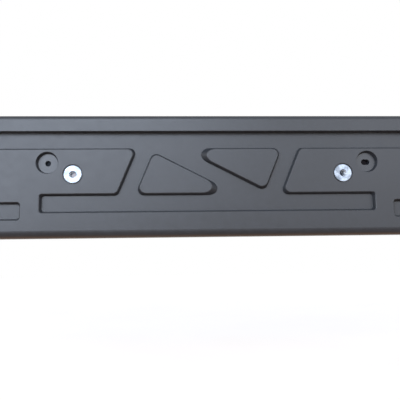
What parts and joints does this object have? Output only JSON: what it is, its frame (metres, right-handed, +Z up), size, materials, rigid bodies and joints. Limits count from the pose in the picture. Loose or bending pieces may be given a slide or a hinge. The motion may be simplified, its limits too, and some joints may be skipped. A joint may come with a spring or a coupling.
{
  "type": "number plate holder",
  "caption": "Moulded holder for a vehicle number plate: long flat seat with a raised top lip, shallow slanted recesses, an open ribbed back, sunk screw points and threaded metal bushes.",
  "frame": {"origin": "on the bumper face, midway between the two holes of the bumper screws", "axes": "+X to the right seen from the front, +Y into the bumper, +Z up; the front faces -Y"},
  "size_m": [0.53, 0.0175, 0.1358],
  "materials": {
    "moulding": "fine-grained black moulded plastic",
    "bush": "turned and zinc-plated steel"
  },
  "bodies": {
    "root": {"holder_moulding": "moulding", "left_threaded_bush": "bush", "right_threaded_bush": "bush"}
  },
  "joints": []
}
